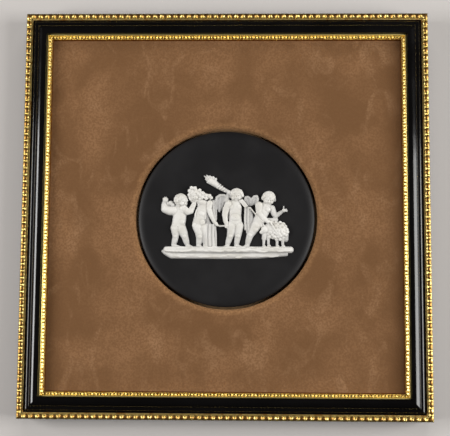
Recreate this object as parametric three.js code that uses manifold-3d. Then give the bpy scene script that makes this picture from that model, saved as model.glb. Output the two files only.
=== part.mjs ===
// A round black jasper plaque with a white relief of four putti, set in a suede covered mat
// and a square ebonised frame with gilt beading. Millimetres, +Z up, the wall behind at +Y.
import * as THREE from 'three';
import { ConvexGeometry } from 'three/addons/geometries/ConvexGeometry.js';
import { mergeVertices } from 'three/addons/utils/BufferGeometryUtils.js';
import Module from 'manifold-3d';

const wasm = await Module();
wasm.setup();

// Overall size
const frameSide = 246;

// Layers, counted out from the wall
const boardRecess = 3;
const boardThick = 3;
const matThick = 7;
const matFront = boardRecess + boardThick + matThick;

// Rail section, from the outer edge inwards
const seatWidth = 4;
const grooveWidth = 1.2;
const stepWidth = 2.25;
const crownWidth = 5.75;
const lipOverhang = 4.2;
const railWidth = seatWidth + grooveWidth + stepWidth + crownWidth;
const railBack = railWidth - lipOverhang;

// Heights of the rail's front, above the mat's front
const seatRise = 0.5;
const grooveRise = 2;
const stepRise = 4.2;

// The crown rises round from the step to its crest, and falls gently to the lip
const stepRound = 1.1;
const crownRadius = 4.4;
const crownTilt = 60;
const lipTilt = 16;

// Fits between the pieces
const mitreGap = 0.05;
const boardGap = 0.5;
const slipGap = 0.2;
const plaqueGap = 0.8;

// Outer gilt strip
const beadPitch = 4.2;
const beadRise = 3.4;
const beadNotch = 1.3;
const beadInset = 0.5;
const beadOverhang = 0.4;
const filletWidth = 0.9;
const filletRise = 2.1;

// Inner gilt slip
const slipWidth = 3.1;
const slipRise = 3.9;
const leafPitch = 5.95;
const leafRelief = 0.7;

// Plaque, with the mat's opening cut round it, a little below and to the right of the middle
const plaqueRadius = 54.1;
const plaqueThick = 6.5;
const plaqueDrop = 3.1;
const plaqueShift = 0.7;
const rimWidth = 4.6;
const rimDrop = 1.5;
const matRound = 3;
const plaqueBack = boardRecess + boardThick;
const plaqueFace = plaqueBack + plaqueThick;

// Relief: its ground's length sets its scale, and its heights stand on the plaque's face
const groundLength = 80;
const headHeight = 3;
const armHeight = 2.8;
const trunkHeight = 2.6;
const limbHeight = 2.3;
const torchHeight = 1.9;
const lowHeight = 1.5;

// Hanger on the back of the board
const hangerLength = 44;
const hangerWidth = 9;
const hangerThick = 0.9;
const hangerDrop = 4;
const toothPitch = 3;
const toothDepth = 1.6;

const black = new THREE.MeshStandardMaterial({ color: 0x0c0b0b, roughness: 0.2 });
const gilt = new THREE.MeshStandardMaterial({ color: 0xb58a35, roughness: 0.35, metalness: 0.8 });
const suede = new THREE.MeshStandardMaterial({ color: 0x826146, roughness: 0.95 });
const jasper = new THREE.MeshStandardMaterial({ color: 0x232224, roughness: 0.6 });
const biscuit = new THREE.MeshStandardMaterial({ color: 0xe6e1d6, roughness: 0.6 });
const fibreboard = new THREE.MeshStandardMaterial({ color: 0x6f5a41, roughness: 0.9 });
const steel = new THREE.MeshStandardMaterial({ color: 0xa9a9a4, roughness: 0.4, metalness: 1 });

// Everything is drawn lying face up, X right, Y up the picture, Z out from the wall,
// and the whole is then stood up with the origin at the back of the top rail.
const picture = new THREE.Group();
picture.rotation.x = Math.PI / 2;
picture.position.z = railBack / 2 - frameSide / 2;

function add(name, geometry, material, quarterTurns = 0) {
  const mesh = new THREE.Mesh(geometry, material);
  mesh.name = name;
  mesh.rotation.z = (quarterTurns * Math.PI) / 2;
  picture.add(mesh);
  return mesh;
}

// A closed geometry as a solid that can be joined and cut, and back again
function solid(geometry) {
  const bare = new THREE.BufferGeometry();
  bare.setAttribute('position', geometry.getAttribute('position'));
  if (geometry.index) bare.setIndex(geometry.index);
  const merged = mergeVertices(bare, 1e-4);
  return new wasm.Manifold(new wasm.Mesh({
    numProp: 3,
    vertProperties: merged.attributes.position.array,
    triVerts: new Uint32Array(merged.index.array),
  }));
}

function surface(body) {
  const mesh = body.getMesh();
  const geometry = new THREE.BufferGeometry();
  geometry.setAttribute('position', new THREE.BufferAttribute(mesh.vertProperties, 3));
  geometry.setIndex(new THREE.BufferAttribute(mesh.triVerts, 1));
  return geometry.toNonIndexed();
}

// A bar of one section along the picture's lower side, mitred at both ends.
// The section is drawn with the inset from the outer edge as X and the height as Y.
function mitredBar(section) {
  const bar = new THREE.ExtrudeGeometry(section, { depth: 1, bevelEnabled: false });
  const place = bar.getAttribute('position');
  for (let i = 0; i < place.count; i += 1) {
    const inset = place.getX(i);
    const halfRun = frameSide / 2 - inset - mitreGap;
    place.setXYZ(i, (2 * place.getZ(i) - 1) * halfRun, inset - frameSide / 2, place.getY(i));
  }
  return bar;
}

// A square ended bar whose long edges swell and sink: each edge has its inset, its height,
// the number of steps that it takes in one repeat, and the shift of its odd steps.
function carvedBar(edges, pitch) {
  const repeats = Math.round(frameSide / pitch);
  const places = [];
  const lines = edges.map(({ inset, height, steps = 0, shift = [0, 0] }) => {
    const count = Math.max(1, steps * repeats);
    return Array.from({ length: count + 1 }, (_, i) => {
      const odd = steps === 2 && i % 2 === 1;
      const run = (i / count - 0.5) * frameSide;
      const across = inset - frameSide / 2 + (odd ? shift[0] : 0);
      places.push(run, across, height + (odd ? shift[1] : 0));
      return { index: places.length / 3 - 1, run };
    });
  });
  const faces = [];
  lines.forEach((line, n) => {
    const next = lines[(n + 1) % lines.length];
    let i = 0;
    let j = 0;
    while (i < line.length - 1 || j < next.length - 1) {
      const stepLine = j === next.length - 1
        || (i < line.length - 1 && line[i + 1].run <= next[j + 1].run);
      if (stepLine) {
        faces.push(line[i].index, next[j].index, line[i + 1].index);
        i += 1;
      } else {
        faces.push(line[i].index, next[j].index, next[j + 1].index);
        j += 1;
      }
    }
  });
  const outline = edges.map(({ inset, height }) => new THREE.Vector2(inset, height));
  THREE.ShapeUtils.triangulateShape(outline, []).forEach(([a, b, c]) => {
    faces.push(lines[a][0].index, lines[c][0].index, lines[b][0].index);
    faces.push(lines[a].at(-1).index, lines[b].at(-1).index, lines[c].at(-1).index);
  });
  const bar = new THREE.BufferGeometry();
  bar.setAttribute('position', new THREE.Float32BufferAttribute(places, 3));
  bar.setIndex(faces);
  return bar;
}

function radians(degrees) {
  return (degrees * Math.PI) / 180;
}

// Points on an arc whose highest point is given, from one tilt off upright to another
function arc(topInset, topHeight, radius, fromTilt, toTilt, steps) {
  return Array.from({ length: steps + 1 }, (_, i) => {
    const tilt = radians(fromTilt + ((toTilt - fromTilt) * i) / steps);
    return [topInset + radius * Math.sin(tilt), topHeight - radius * (1 - Math.cos(tilt))];
  });
}

function rectangle(left, low, right, high) {
  const shape = new THREE.Shape();
  shape.moveTo(left, low).lineTo(right, low).lineTo(right, high).lineTo(left, high);
  return shape;
}

// Rails: a seat for the outer strip, a narrow groove, a flat step with a round edge and
// a rounded crown that falls to a lip over the mat.
function railSection() {
  const groove = seatWidth + grooveWidth;
  const step = matFront + stepRise;
  const crest = groove + stepWidth + crownRadius * Math.sin(radians(crownTilt));
  const crestHeight = step + crownRadius * (1 - Math.cos(radians(crownTilt)));
  const fallRadius = (railWidth - crest) / Math.sin(radians(lipTilt));
  const front = [
    ...arc(groove + stepRound, step, stepRound, -90, 0, 3),
    ...arc(crest, crestHeight, crownRadius, -crownTilt, 0, 7),
    ...arc(crest, crestHeight, fallRadius, 0, lipTilt, 4).slice(1),
  ];
  const section = new THREE.Shape();
  section.moveTo(0, 0);
  section.lineTo(railBack, 0);
  section.lineTo(railBack, matFront);
  section.lineTo(railWidth, matFront);
  front.reverse().forEach(([inset, height]) => section.lineTo(inset, height));
  section.lineTo(groove, matFront + grooveRise);
  section.lineTo(seatWidth, matFront + grooveRise);
  section.lineTo(seatWidth, matFront + seatRise);
  section.lineTo(0, matFront + seatRise);
  section.closePath();
  return section;
}

// Outer strip: a row of rounded beads with an unbroken fillet inside them
function beadStrip() {
  const base = matFront + seatRise;
  const filletStart = seatWidth - filletWidth;
  const strip = carvedBar([
    { inset: 0, height: base, steps: 1 },
    { inset: seatWidth, height: base },
    { inset: seatWidth, height: base + filletRise },
    { inset: filletStart, height: base + filletRise, steps: 1 },
    { inset: filletStart * 0.5, height: base + beadRise - beadNotch, steps: 2, shift: [0, beadNotch] },
    {
      inset: beadInset,
      height: base + filletRise - beadNotch,
      steps: 2,
      shift: [-beadOverhang, beadNotch * 0.8],
    },
  ], beadPitch);
  const wedge = mitredBar(rectangle(-1, base - 1, seatWidth + 1, base + beadRise + 1));
  return surface(solid(strip).intersect(solid(wedge)));
}

// Inner slip: a fillet against the rail, a row of leaves down to the mat, and a low fillet
function leafSlip() {
  const start = railWidth + slipGap;
  const end = start + slipWidth;
  const strip = carvedBar([
    { inset: start, height: matFront },
    { inset: end, height: matFront },
    { inset: end, height: matFront + slipRise * 0.35 },
    { inset: end - slipWidth * 0.24, height: matFront + slipRise * 0.4, steps: 1 },
    { inset: start + slipWidth * 0.45, height: matFront + slipRise * 0.52, steps: 2, shift: [0, leafRelief] },
    { inset: start + slipWidth * 0.17, height: matFront + slipRise * 0.94, steps: 1 },
    { inset: start, height: matFront + slipRise },
  ], leafPitch);
  const wedge = mitredBar(rectangle(start - 1, matFront - 1, end + 1, matFront + slipRise + 1));
  return surface(solid(strip).intersect(solid(wedge)));
}

['bottom', 'right', 'top', 'left'].forEach((side, quarterTurns) => {
  add('rail_' + side, mitredBar(railSection()), black, quarterTurns);
  add('bead_strip_' + side, beadStrip(), gilt, quarterTurns);
  add('gilt_slip_' + side, leafSlip(), gilt, quarterTurns);
});

// A round piece from its profile of [radius, height] points
function turned(profile, sides) {
  const points = profile.map(([radius, height]) => new THREE.Vector2(radius, height));
  return new THREE.LatheGeometry(points, sides).rotateX(Math.PI / 2);
}

// A quarter round from the first corner to the second, as profile points
function quarterRound([radiusA, heightA], [radiusB, heightB], steps) {
  return Array.from({ length: steps + 1 }, (_, i) => {
    const turn = (i / steps) * (Math.PI / 2);
    return [radiusA + (radiusB - radiusA) * (1 - Math.cos(turn)),
      heightA + (heightB - heightA) * Math.sin(turn)];
  });
}

const insideRabbet = frameSide / 2 - railBack - boardGap;
const roundSides = 56;

function slab(low, high) {
  const outline = rectangle(-insideRabbet, -insideRabbet, insideRabbet, insideRabbet);
  const board = new THREE.ExtrudeGeometry(outline, { depth: high - low, bevelEnabled: false });
  return board.translate(0, 0, low);
}

function mat() {
  const opening = plaqueRadius + plaqueGap;
  const cutter = turned([
    [0, plaqueBack - 1],
    [opening, plaqueBack - 1],
    ...quarterRound([opening, matFront - matRound], [opening + matRound, matFront], 3),
    [opening + matRound, matFront + 1],
    [0, matFront + 1],
  ], roundSides);
  cutter.translate(plaqueShift, -plaqueDrop, 0);
  return surface(solid(slab(plaqueBack, matFront)).subtract(solid(cutter)));
}

function disc() {
  const shoulder = plaqueRadius - rimWidth;
  return turned([
    [0, plaqueBack],
    [plaqueRadius, plaqueBack],
    ...quarterRound([plaqueRadius, plaqueFace - rimDrop], [shoulder, plaqueFace], 3),
    [0, plaqueFace],
  ], roundSides);
}

add('backboard', slab(boardRecess, plaqueBack), fibreboard);
add('suede_mat', mat(), suede);
add('jasper_plaque', disc(), jasper).position.set(plaqueShift, -plaqueDrop, 0);

// Poses of the relief in hundredths of its ground's length, [right, up] from the plaque's centre
const unit = groundLength / 100;
const rearPutto = {
  head: [-34.7, 13.4],
  trunk: [[-34.9, 6.6], [-35.2, 4.2], [-35.6, -1.5], [-36.7, -6.5]],
  arms: [[[-38.6, 7], [-46.2, 6.8], [-46, 14.2]], [[-32.6, 6.1], [-27.2, 4.2], [-25.1, 10.3]]],
  legs: [[[-37.2, -8.5], [-37.4, -14.1], [-39.9, -20], [-36.4, -21.6]],
    [[-33.9, -8], [-31.5, -13.7], [-29.3, -20], [-25.6, -21.6]]],
};
const flowerPutto = {
  head: [-24.2, 17.3],
  trunk: [[-20.2, 11.6], [-18.3, 8.7], [-20, 2.7], [-20.9, -4.2]],
  arms: [[[-14.3, 10.8], [-11.8, 3.4], [-7.9, -3.4]]],
  legs: [[[-21, -7.2], [-20.4, -13.3], [-21.2, -20], [-24.3, -21.6]],
    [[-17, -7.2], [-15.4, -13.3], [-16, -20], [-13.4, -21.6]]],
};
const torchPutto = {
  head: [7.8, 18],
  trunk: [[7, 12], [6.5, 9.5], [6.5, 2.7], [6.8, -3.4]],
  arms: [[[0.9, 11], [-1.5, 3.8], [0.5, -4.2]], [[10.8, 11], [14.2, 8], [12.2, 12.9]],
    [[1.6, 12], [-0.8, 14.6], [1.4, 18.4]]],
  legs: [[[4.2, -6.5], [2.7, -13.3], [0.8, -20], [-1.4, -21.6]],
    [[9.5, -6.5], [9.1, -13.3], [8.1, -20], [11.6, -21.6]]],
};
const lambPutto = {
  head: [31.9, 15.6],
  trunk: [[31, 9.6], [29.4, 7.2], [26.8, 1.9], [23.7, -3]],
  arms: [[[25.6, 8.4], [28.9, 2.3], [33.2, -1.9]], [[34.2, 6.8], [35.6, 1.1], [43.1, 6.1]]],
  legs: [[[23.2, -4.9], [19.6, -12.6], [16.6, -20], [13.2, -21.6]]],
};

// A rounded form: the hull of flattened balls, each [right, up, radius], standing on the face
function form(balls, height, sides = 7) {
  const points = [];
  balls.forEach(([right, up, radius]) => {
    const rings = [[1.04, -0.15], [0.8, 0.62]];
    rings.forEach(([reach, level]) => {
      for (let i = 0; i < sides; i += 1) {
        const turn = (2 * Math.PI * (i + 0.5)) / sides;
        points.push(new THREE.Vector3(
          (right + radius * reach * Math.cos(turn)) * unit,
          (up + radius * reach * Math.sin(turn)) * unit,
          level * height,
        ));
      }
    });
    points.push(new THREE.Vector3(right * unit, up * unit, height));
  });
  return solid(new ConvexGeometry(points));
}

// A jointed limb: one tapered form between each joint and the next
function limb(joints, radii, height, sides = 6) {
  return joints.slice(1).map((joint, i) => form(
    [[...joints[i], radii[i]], [...joint, radii[i + 1]]], height, sides,
  ));
}

function putto({ head: [x, y], trunk, arms, legs }) {
  return [
    form([[x, y + 0.5, 5.3], [x, y - 1.6, 4.7]], headHeight, 10),
    ...limb(trunk, [3.8, 5.2, 5.4, 5.2], trunkHeight, 9),
    ...arms.flatMap((arm) => limb(arm, [3.1, 2.6, 2.2], armHeight)),
    ...legs.flatMap((leg) => limb(leg, [4.4, 3.3, 2.3, 1.7], limbHeight)),
  ];
}

// Pleats hanging from the upper points to the lower ones, high and low in turn
function pleats(upper, lower, radius, height) {
  return upper.map((top, i) => form(
    [[...top, radius], [...lower[i], radius]], height * (i % 2 ? 0.75 : 1), 6,
  ));
}

// Points evenly spaced from one place to another
function spaced(from, to, count) {
  return Array.from({ length: count }, (_, i) => [0, 1].map(
    (axis) => from[axis] + ((to[axis] - from[axis]) * i) / (count - 1),
  ));
}

// Feathers fanned out from a root to evenly spaced tips
function wing(root, firstTip, lastTip, count) {
  return spaced(firstTip, lastTip, count).map((tip) => form(
    [[...root, 2.2], [...tip, 2.3]], lowHeight, 6,
  ));
}

function relief() {
  const garland = spaced([-26.6, 20.6], [-12.2, 15], 6).map(([right, up], i) => (
    form([[right, up + (i % 2 ? 0.8 : 0), 2.7]], trunkHeight, 6)
  ));
  const flames = [[-15.2, 30.8], [-12.8, 30.6], [-10.6, 29.4]].map(([right, up]) => (
    form([[right, up, 2.3]], torchHeight, 6)
  ));
  const lambLegs = [[28.6, -21.2], [31.8, -21.4], [38.3, -21.3], [42.6, -21.3]].map(([right, up]) => (
    form([[right, -13, 1.9], [right, up, 1.5]], lowHeight, 6)
  ));
  const forms = [
    form([[-46.2, -24.6, 2.8], [48.4, -24.2, 2.8]], limbHeight, 8),
    form([[-39.3, -27.9, 3.2], [24, -27.7, 3], [45.6, -26, 2.6]], lowHeight, 8),
    ...[rearPutto, flowerPutto, torchPutto, lambPutto].flatMap(putto),
    form([[-45.2, 7.4, 3.8], [-39.4, 7.6, 3.6]], trunkHeight, 7),
    form([[-41.8, 11.2, 2], [-39, 9.4, 1.9]], lowHeight, 6),
    form([[-21.5, 19.8, 3], [-12.4, 14.6, 2.6], [-16.4, 12, 2.6]], lowHeight, 7),
    ...garland,
    ...pleats(spaced([-14.2, 11], [-8.6, 10.6], 3), spaced([-14.6, -20.5], [-9, -20.7], 3), 2.1, limbHeight),
    ...limb([[-7.9, -3.4], [-4, -5.1], [0.5, -4.2]], [1.1, 0.9, 1.1], lowHeight),
    ...limb([[2.4, 18.6], [-6.7, 25], [-13, 28.8]], [1.7, 2.7, 3.9], torchHeight),
    ...flames,
    ...wing([-1.4, 12.6], [-3.8, 15.2], [-6.6, 12.2], 2),
    ...wing([-2, 11.4], [-6.6, 9.6], [-4.7, 6.8], 2),
    ...wing([21.8, 10.4], [16, 14.8], [18, 12.2], 2),
    ...wing([23.4, 10.2], [20.8, 15.6], [23, 15.4], 2),
    ...pleats(spaced([14.6, 8.4], [18, 7.4], 3), spaced([15.2, -7.6], [19.6, -7], 3), 1.9, torchHeight),
    form([[16.8, -9, 2.2], [20.6, -7.4, 3.4], [24, -4, 3.6]], limbHeight, 8),
    form([[37.4, -8.8, 7.2], [40.2, -10, 7.6]], trunkHeight, 11),
    form([[33, -8, 6], [30, -7, 4.2], [28.2, -11, 2.6]], trunkHeight, 8),
    ...lambLegs,
    form([[43.1, 6.1, 1.9], [44.8, 5.6, 1.6]], lowHeight, 6),
    form([[41.6, 6.6, 1.2], [43.2, 8.9, 0.7]], lowHeight, 6),
  ];
  const reach = groundLength;
  const above = new THREE.BoxGeometry(2 * reach, 2 * reach, reach).translate(0, 0, reach / 2);
  const joined = forms.slice(1).reduce((body, next) => body.add(next), forms[0]);
  return surface(joined.intersect(solid(above))).translate(0, 0, plaqueFace);
}

add('putti_relief', relief(), biscuit).position.set(plaqueShift, -plaqueDrop, 0);

// Hanger: a toothed plate laid on the back of the board under the top rail
function hanger() {
  const plate = new THREE.Shape();
  const top = insideRabbet - hangerDrop;
  const teeth = Math.floor((hangerLength * 0.7) / toothPitch);
  plate.moveTo(-hangerLength / 2, top);
  plate.lineTo(-hangerLength / 2, top - hangerWidth);
  for (let i = 0; i <= teeth; i += 1) {
    const right = (i - teeth / 2) * toothPitch;
    plate.lineTo(right, top - hangerWidth);
    if (i < teeth) plate.lineTo(right + toothPitch / 2, top - hangerWidth + toothDepth);
  }
  plate.lineTo(hangerLength / 2, top - hangerWidth);
  plate.lineTo(hangerLength / 2, top);
  plate.closePath();
  const geometry = new THREE.ExtrudeGeometry(plate, { depth: hangerThick, bevelEnabled: false });
  return geometry.translate(0, 0, boardRecess - hangerThick);
}

add('hanger', hanger(), steel);

const plaque = new THREE.Group();
plaque.add(picture);

export default plaque;
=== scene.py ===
import math
import random

import bpy
from mathutils import Matrix, Vector


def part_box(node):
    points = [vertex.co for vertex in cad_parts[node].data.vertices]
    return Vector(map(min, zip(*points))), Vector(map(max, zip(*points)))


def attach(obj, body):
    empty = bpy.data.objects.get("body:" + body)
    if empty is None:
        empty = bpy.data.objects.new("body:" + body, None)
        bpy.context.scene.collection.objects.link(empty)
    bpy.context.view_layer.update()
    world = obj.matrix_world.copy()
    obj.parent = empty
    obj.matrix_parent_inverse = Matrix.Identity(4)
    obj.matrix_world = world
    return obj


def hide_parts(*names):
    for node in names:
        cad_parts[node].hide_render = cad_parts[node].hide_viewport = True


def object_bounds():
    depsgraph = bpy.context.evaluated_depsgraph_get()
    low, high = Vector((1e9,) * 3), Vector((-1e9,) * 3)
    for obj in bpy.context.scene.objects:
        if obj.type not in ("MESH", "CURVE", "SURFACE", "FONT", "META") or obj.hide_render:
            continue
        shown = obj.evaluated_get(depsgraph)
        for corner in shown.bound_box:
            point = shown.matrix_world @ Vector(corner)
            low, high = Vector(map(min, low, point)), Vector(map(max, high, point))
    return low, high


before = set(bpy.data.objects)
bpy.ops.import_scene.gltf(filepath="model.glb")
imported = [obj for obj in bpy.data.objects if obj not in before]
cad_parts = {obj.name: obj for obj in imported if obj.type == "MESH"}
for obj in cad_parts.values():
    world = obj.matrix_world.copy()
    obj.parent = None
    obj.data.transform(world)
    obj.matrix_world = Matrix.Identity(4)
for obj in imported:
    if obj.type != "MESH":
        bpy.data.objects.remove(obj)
solid_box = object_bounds()

# Camera
# The picture is seen almost square on, from a little below its middle and a hair to the right,
# through a long lens. The places are shares of the frame's own side.
mm = 0.001
frame_low, frame_high = solid_box
frame_side = frame_high.x - frame_low.x
middle = Vector((0, 0, (frame_low.z + frame_high.z) / 2))
strip_low, strip_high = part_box("bead_strip_bottom")

view_round = math.radians(1.42)
view_up = math.radians(-5.94)
view_roll = math.radians(0.35)
view_distance = 2.386 * frame_side
aim = Vector((-0.0003 * frame_side, strip_high.y - 1 * mm, middle.z - 0.0125 * frame_side))

back = Vector((
    math.sin(view_round) * math.cos(view_up),
    -math.cos(view_round) * math.cos(view_up),
    math.sin(view_up),
))
bpy.ops.object.camera_add(location=aim + back * view_distance)
camera = bpy.context.object
camera.rotation_mode = "QUATERNION"
camera.rotation_quaternion = (
    (-back).to_track_quat("-Z", "Y") @ Matrix.Rotation(view_roll, 3, "Z").to_quaternion()
)
camera.data.lens = 78
camera.data.sensor_width = 36
camera.data.clip_end = 30
bpy.context.scene.camera = camera
bpy.context.scene.view_settings.view_transform = "Standard"


# Rails
# Four lengths of one wooden moulding, mitred and glued at the corners: a narrow seat outside
# for the gilt strip, a groove, a flat step with a round edge and a rounded crown that falls to a
# lip over the mat. Stained black, lacquered and rubbed to a gloss.
rail_low, rail_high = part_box("rail_bottom")
mat_low, mat_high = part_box("suede_mat")
slip_low, slip_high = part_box("gilt_slip_bottom")
sides = ["bottom", "right", "top", "left"]
rail_wide = rail_high.z - rail_low.z
rebate = mat_low.z - rail_low.z - 0.5 * mm
mat_front = -mat_low.y
mitre_gap = 0.05 * mm


def start(name, primitive, **where):
    """A primitive added with nothing else selected, under its own name."""
    bpy.ops.object.select_all(action="DESELECT")
    primitive(**where)
    piece = bpy.context.object
    piece.name = name
    piece.data.name = name
    return piece


def edit(piece, select=True):
    """Edit mode on one piece alone, with all of it selected or none."""
    if bpy.context.mode != "OBJECT":
        bpy.ops.object.mode_set(mode="OBJECT")
    bpy.ops.object.select_all(action="DESELECT")
    piece.select_set(True)
    bpy.context.view_layer.objects.active = piece
    bpy.ops.object.mode_set(mode="EDIT")
    bpy.ops.mesh.select_mode(type="VERT")
    bpy.ops.mesh.select_all(action="SELECT" if select else "DESELECT")


def done():
    """Out of edit mode, with the place, turn and size of the piece put into its mesh."""
    if bpy.context.mode != "OBJECT":
        bpy.ops.object.mode_set(mode="OBJECT")
    bpy.ops.object.transform_apply(location=True, rotation=True, scale=True)
    return bpy.context.object


def pick(piece, kind, test):
    """Selects the vertices, edges or faces whose centre passes the test, in edit mode."""
    bpy.ops.object.mode_set(mode="OBJECT")
    mesh = piece.data
    for part in (*mesh.vertices, *mesh.edges, *mesh.polygons):
        part.select = False
    places = [vertex.co for vertex in mesh.vertices]
    if kind == "FACE":
        for face in mesh.polygons:
            face.select = test(face.center, face.normal)
    if kind == "EDGE":
        for edge in mesh.edges:
            edge.select = test(*[places[i] for i in edge.vertices])
    if kind == "VERT":
        for vertex in mesh.vertices:
            vertex.select = test(vertex.co)
    bpy.ops.object.mode_set(mode="EDIT")
    bpy.ops.mesh.select_mode(type=kind)


def modify(piece, kind, **settings):
    """A modifier put on a piece and applied."""
    bpy.ops.object.select_all(action="DESELECT")
    piece.select_set(True)
    bpy.context.view_layer.objects.active = piece
    modifier = piece.modifiers.new(kind.title(), kind)
    for name, value in settings.items():
        setattr(modifier, name, value)
    bpy.ops.object.modifier_apply(modifier=modifier.name)


def drawn(name, corners, closed=True):
    """An outline drawn corner by corner, filled where it is closed."""
    piece = start(name, bpy.ops.mesh.primitive_plane_add, size=mm)
    edit(piece)
    bpy.ops.mesh.merge(type="CENTER")
    bpy.ops.transform.translate(value=corners[0])
    for here, there in zip(corners, corners[1:]):
        bpy.ops.mesh.extrude_region_move(TRANSFORM_OT_translate={"value": there - here})
    bpy.ops.mesh.select_all(action="SELECT")
    if closed:
        bpy.ops.mesh.edge_face_add()
    return piece


def mitred(piece):
    """Cuts both ends of a bar along the lower side to the frame's mitres."""
    edit(piece)
    for turn in (-1, 1):
        bpy.ops.mesh.select_all(action="SELECT")
        bpy.ops.mesh.bisect(
            plane_co=middle - Vector((0, 0, mitre_gap)),
            plane_no=(turn, 0, 1),
            use_fill=True,
            clear_outer=True,
        )
    bpy.ops.mesh.select_all(action="SELECT")
    bpy.ops.mesh.normals_make_consistent(inside=False)
    bpy.ops.object.mode_set(mode="OBJECT")


def bar(name, section):
    """A mitred bar along the lower side, from its section's [inset, height] corners."""
    corners = [Vector((-frame_side / 2, -height, rail_low.z + inset)) for inset, height in section]
    piece = drawn(name, corners)
    bpy.ops.mesh.extrude_region_move(TRANSFORM_OT_translate={"value": (frame_side, 0, 0)})
    mitred(piece)
    return piece


def smooth(piece, angle):
    bpy.ops.object.select_all(action="DESELECT")
    piece.select_set(True)
    bpy.context.view_layer.objects.active = piece
    bpy.ops.object.shade_smooth_by_angle(angle=math.radians(angle))


def dress(piece, finish, slot, *nodes):
    """Gives a piece its finish, puts it under the root body and hides the solids it takes the place
    of.
    """
    piece.data.materials.clear()
    piece.data.materials.append(finish)
    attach(piece, "root")
    if nodes:
        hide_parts(*nodes)


def round_the_frame(first, name, finish, slot, solid_name):
    """The bar along the lower side and its copies, each turned to its own side."""
    pieces = [first]
    for side in sides[1:]:
        piece = first.copy()
        piece.data = first.data.copy()
        bpy.context.scene.collection.objects.link(piece)
        pieces.append(piece)
    for quarter, (side, piece) in enumerate(zip(sides, pieces)):
        piece.name = f"{name}_{side}"
        piece.data.name = piece.name
        turn = Matrix.Rotation(-quarter * math.pi / 2, 4, "Y")
        piece.data.transform(Matrix.Translation(middle) @ turn @ Matrix.Translation(-middle))
        dress(piece, finish, slot, f"{solid_name}_{side}")


class Tone:
    """One output of a finish's nodes. Sums and products on it add Math nodes, node() any other."""

    def __init__(self, tree, socket=None):
        self.tree = tree
        self.socket = socket

    def node(self, kind, settings, sockets, output=0):
        made = self.tree.nodes.new("ShaderNode" + kind)
        for name, value in settings.items():
            if name == "stops":
                ramp = made.color_ramp
                while len(ramp.elements) < len(value):
                    ramp.elements.new(1)
                for element, (place, color) in zip(ramp.elements, value):
                    element.position = place
                    element.color = (*color, 1)
            else:
                setattr(made, name, value)
        for name, value in sockets.items():
            if isinstance(value, Tone):
                self.tree.links.new(value.socket, made.inputs[name])
            else:
                made.inputs[name].default_value = value
        return Tone(self.tree, made.outputs[output])

    def math(self, operation, *values):
        return self.node("Math", {"operation": operation}, dict(enumerate(values)))

    def __add__(self, other):
        return self.math("ADD", self, other)

    def __radd__(self, other):
        return self.math("ADD", other, self)

    def __sub__(self, other):
        return self.math("SUBTRACT", self, other)

    def __rsub__(self, other):
        return self.math("SUBTRACT", other, self)

    def __mul__(self, other):
        return self.math("MULTIPLY", self, other)

    def __rmul__(self, other):
        return self.math("MULTIPLY", other, self)

    def ramp(self, low, high):
        """0 below low, 1 above high and smooth between them."""
        return self.node(
            "MapRange",
            {"interpolation_type": "SMOOTHSTEP"},
            {"Value": self, "From Min": low, "From Max": high},
        )

    def noise(self, scale, detail=3, stretch=(1, 1, 1), twist=0):
        """Cloudy noise in the piece's own space, scale blotches to the metre."""
        place = self.node("TexCoord", {}, {}, "Object")
        place = self.node("Mapping", {}, {"Vector": place, "Scale": stretch})
        return self.node(
            "TexNoise", {},
            {"Vector": place, "Scale": scale, "Detail": detail, "Distortion": twist},
        )

    def place(self, axis):
        return self.node(
            "SeparateXYZ", {}, {"Vector": self.node("TexCoord", {}, {}, "Object")}, axis,
        )

    def blend(self, share, first, second):
        """A colour between two others."""
        return self.node(
            "Mix", {"data_type": "RGBA", "clamp_factor": True},
            {0: share, 6: first, 7: second}, 2,
        )

    def bump(self, strength, distance):
        return self.node("Bump", {}, {"Strength": strength, "Distance": distance, "Height": self})


def srgb(red, green, blue):
    """A colour read off in 0 to 255 steps, as the linear one that a shader takes."""
    return (*[((part / 255 + 0.055) / 1.055) ** 2.4 for part in (red, green, blue)], 1)


def mixed(name, **constants):
    """A material with these constants on its shader, and the Tone that starts its patterns."""
    material = bpy.data.materials.new(name)
    material.use_nodes = True
    shader = material.node_tree.nodes["Principled BSDF"]
    for socket, value in constants.items():
        shader.inputs[socket.replace("_", " ")].default_value = value
    return material, Tone(material.node_tree)


def lay(material, **tones):
    """Links patterns to a material's shader."""
    tree = material.node_tree
    shader = tree.nodes["Principled BSDF"]
    for socket, tone in tones.items():
        tree.links.new(tone.socket, shader.inputs[socket.replace("_", " ")])


lacquer, tone = mixed("black_lacquer", Specular_IOR_Level=0.5)
rubbed = tone.noise(30, 4).ramp(0.35, 0.7)
lay(
    lacquer,
    Base_Color=tone.blend(rubbed, srgb(9, 8, 8), srgb(13, 12, 12)),
    Roughness=0.12 + rubbed * 0.06,
    Normal=tone.noise(260, 2).bump(0.04, 0.2 * mm),
)

seat = strip_high.z - strip_low.z
groove = seat + 1.2 * mm
step_end = groove + 2.25 * mm
seat_top = mat_front + 0.5 * mm
groove_floor = mat_front + 2 * mm
step_high = mat_front + 4.2 * mm
step_round = 1.1 * mm
crown_radius = 4.4 * mm
crown_tilt = math.radians(60)
lip_tilt = math.radians(16)


def arc(top_inset, top, radius, first_tilt, last_tilt, steps):
    """Points on an arc from its highest point's place, between two tilts off upright."""
    for step in range(steps + 1):
        tilt = first_tilt + (last_tilt - first_tilt) * step / steps
        yield top_inset + radius * math.sin(tilt), top - radius * (1 - math.cos(tilt))


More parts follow.
